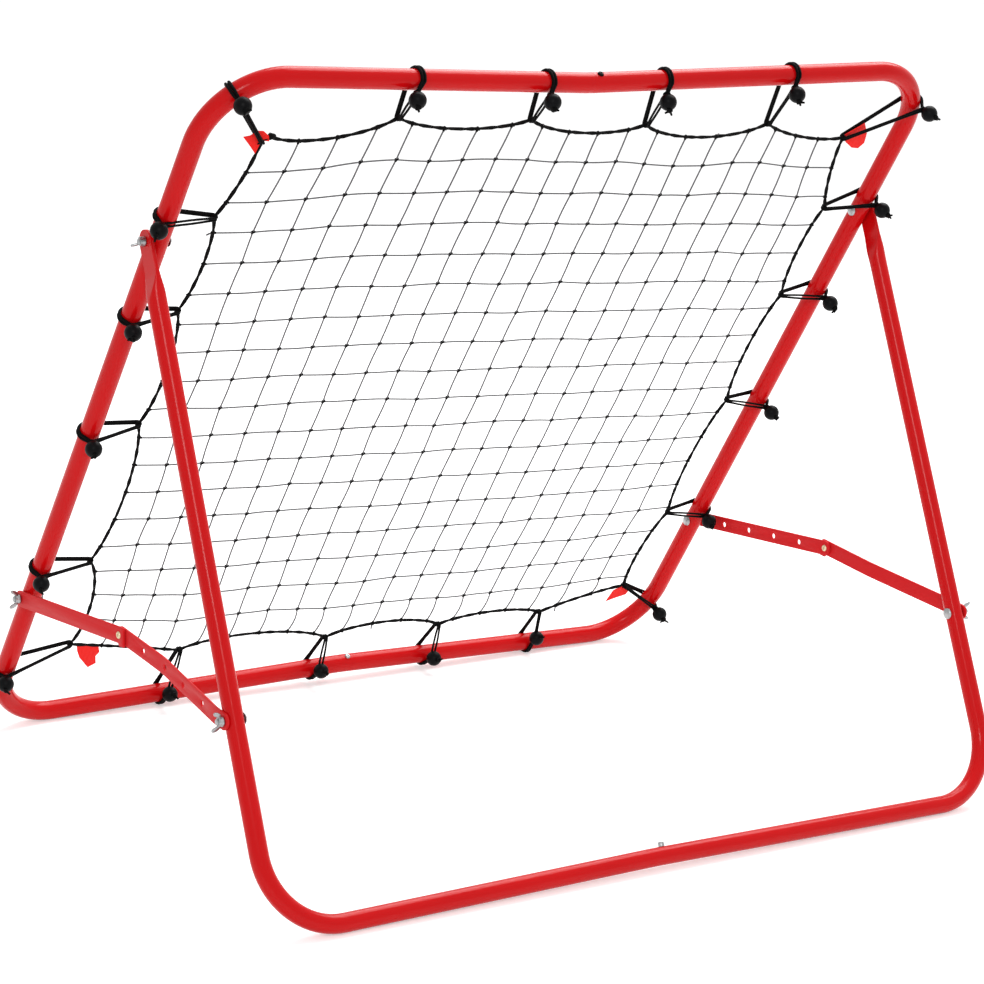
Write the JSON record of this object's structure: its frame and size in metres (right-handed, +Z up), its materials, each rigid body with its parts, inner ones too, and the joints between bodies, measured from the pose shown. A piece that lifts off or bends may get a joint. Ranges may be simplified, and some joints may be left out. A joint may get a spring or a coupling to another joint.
{
  "type": "ball rebounder",
  "caption": "Folding tubular ball rebounder: a leaning square frame with a net held by elastic ball ties, a rear support frame and two jointed side braces.",
  "frame": {"origin": "on the floor, under the middle of the whole object's bounding box", "axes": "+Z up; the struck face of the net looks towards -Y, the support stands at +Y, and +X is the left side as seen from behind"},
  "size_m": [1.0134, 0.6819, 0.8222],
  "materials": {
    "red_tube": "glossy red powder coat on steel tube",
    "red_strap": "satin red powder coat on steel strip",
    "zinc": "zinc plated steel",
    "net_string": "knotted black net string",
    "border_rope": "black border rope",
    "elastic_tie": "black elastic cord with a moulded black ball",
    "corner_tab": "red woven tab"
  },
  "bodies": {
    "net_frame": {"net_frame_left": "red_tube", "net_frame_right": "red_tube", "rebound_net": "net_string", "border_rope": "border_rope", "corner_tab_top_left": "corner_tab", "corner_tab_top_right": "corner_tab", "corner_tab_bottom_left": "corner_tab", "corner_tab_bottom_right": "corner_tab", "tie_top_1": "elastic_tie", "tie_top_2": "elastic_tie", "tie_top_3": "elastic_tie", "tie_top_4": "elastic_tie", "tie_left_1": "elastic_tie", "tie_left_2": "elastic_tie", "tie_left_3": "elastic_tie", "tie_left_4": "elastic_tie", "tie_right_1": "elastic_tie", "tie_right_2": "elastic_tie", "tie_right_3": "elastic_tie", "tie_right_4": "elastic_tie", "tie_bottom_1": "elastic_tie", "tie_bottom_2": "elastic_tie", "tie_bottom_3": "elastic_tie", "tie_bottom_4": "elastic_tie", "tie_corner_top_left": "elastic_tie", "tie_corner_top_right": "elastic_tie", "tie_corner_bottom_left": "elastic_tie", "tie_corner_bottom_right": "elastic_tie", "pivot_left_bolt": "zinc", "pivot_right_bolt": "zinc", "brace_net_left_bolt": "zinc", "brace_net_right_bolt": "zinc", "net_top_joint_screw": "zinc", "net_bottom_joint_screw": "zinc"},
    "support": {"support_left": "red_tube", "support_right": "red_tube", "brace_leg_left_bolt": "zinc", "brace_leg_right_bolt": "zinc", "support_joint_screw": "zinc"},
    "brace_left_net_half": {"brace_left_net_strap": "red_strap", "elbow_rivet_left_outer": "zinc"},
    "brace_left_leg_half": {"brace_left_leg_strap": "red_strap", "elbow_rivet_left_inner": "zinc"},
    "brace_right_net_half": {"brace_right_net_strap": "red_strap", "elbow_rivet_right_inner": "zinc"},
    "brace_right_leg_half": {"brace_right_leg_strap": "red_strap", "elbow_rivet_right_outer": "zinc"},
    "pivot_left_wing_nut": {"pivot_left_wing_nut": "zinc"},
    "pivot_right_wing_nut": {"pivot_right_wing_nut": "zinc"},
    "brace_net_left_wing_nut": {"brace_net_left_wing_nut": "zinc"},
    "brace_net_right_wing_nut": {"brace_net_right_wing_nut": "zinc"},
    "brace_leg_left_wing_nut": {"brace_leg_left_wing_nut": "zinc"},
    "brace_leg_right_wing_nut": {"brace_leg_right_wing_nut": "zinc"}
  },
  "joints": [
    {"name": "support_fold", "type": "hinge", "parent": "net_frame", "child": "support", "pos_m": [0, 0.00843, 0.63255], "axis": [-1, 0, 0], "range_deg": [0, 29]},
    {"name": "brace_left_net_swing", "type": "hinge", "parent": "net_frame", "child": "brace_left_net_half", "pos_m": [0.4816, -0.23492, 0.18435], "axis": [-1, 0, 0], "range_deg": [0, 79.3]},
    {"name": "brace_left_leg_swing", "type": "hinge", "parent": "support", "child": "brace_left_leg_half", "pos_m": [0.4939, 0.23245, 0.20013], "axis": [1, 0, 0], "range_deg": [0, 80.7]},
    {"name": "brace_right_net_swing", "type": "hinge", "parent": "net_frame", "child": "brace_right_net_half", "pos_m": [-0.4816, -0.23492, 0.18435], "axis": [-1, 0, 0], "range_deg": [0, 74.6]},
    {"name": "brace_right_leg_swing", "type": "hinge", "parent": "support", "child": "brace_right_leg_half", "pos_m": [-0.4939, 0.23245, 0.20013], "axis": [1, 0, 0], "range_deg": [0, 85.4]},
    {"name": "pivot_left_wing_nut_turn", "type": "hinge", "parent": "net_frame", "child": "pivot_left_wing_nut", "pos_m": [0.4876, 0.00843, 0.63255], "axis": [1, 0, 0], "continuous": true},
    {"name": "pivot_right_wing_nut_turn", "type": "hinge", "parent": "net_frame", "child": "pivot_right_wing_nut", "pos_m": [-0.4876, 0.00843, 0.63255], "axis": [-1, 0, 0], "continuous": true},
    {"name": "brace_net_left_wing_nut_turn", "type": "hinge", "parent": "net_frame", "child": "brace_net_left_wing_nut", "pos_m": [0.4861, -0.23492, 0.18435], "axis": [1, 0, 0], "continuous": true},
    {"name": "brace_net_right_wing_nut_turn", "type": "hinge", "parent": "net_frame", "child": "brace_net_right_wing_nut", "pos_m": [-0.4861, -0.23492, 0.18435], "axis": [-1, 0, 0], "continuous": true},
    {"name": "brace_leg_left_wing_nut_turn", "type": "hinge", "parent": "support", "child": "brace_leg_left_wing_nut", "pos_m": [0.4984, 0.23245, 0.20013], "axis": [1, 0, 0], "continuous": true},
    {"name": "brace_leg_right_wing_nut_turn", "type": "hinge", "parent": "support", "child": "brace_leg_right_wing_nut", "pos_m": [-0.4984, 0.23245, 0.20013], "axis": [-1, 0, 0], "continuous": true}
  ],
  "couplings": [
    {"joint": "brace_left_net_swing", "follows": "support_fold", "ratio": 2.7331},
    {"joint": "brace_left_leg_swing", "follows": "support_fold", "ratio": 2.7791},
    {"joint": "brace_right_net_swing", "follows": "support_fold", "ratio": 2.5706},
    {"joint": "brace_right_leg_swing", "follows": "support_fold", "ratio": 2.9415}
  ]
}
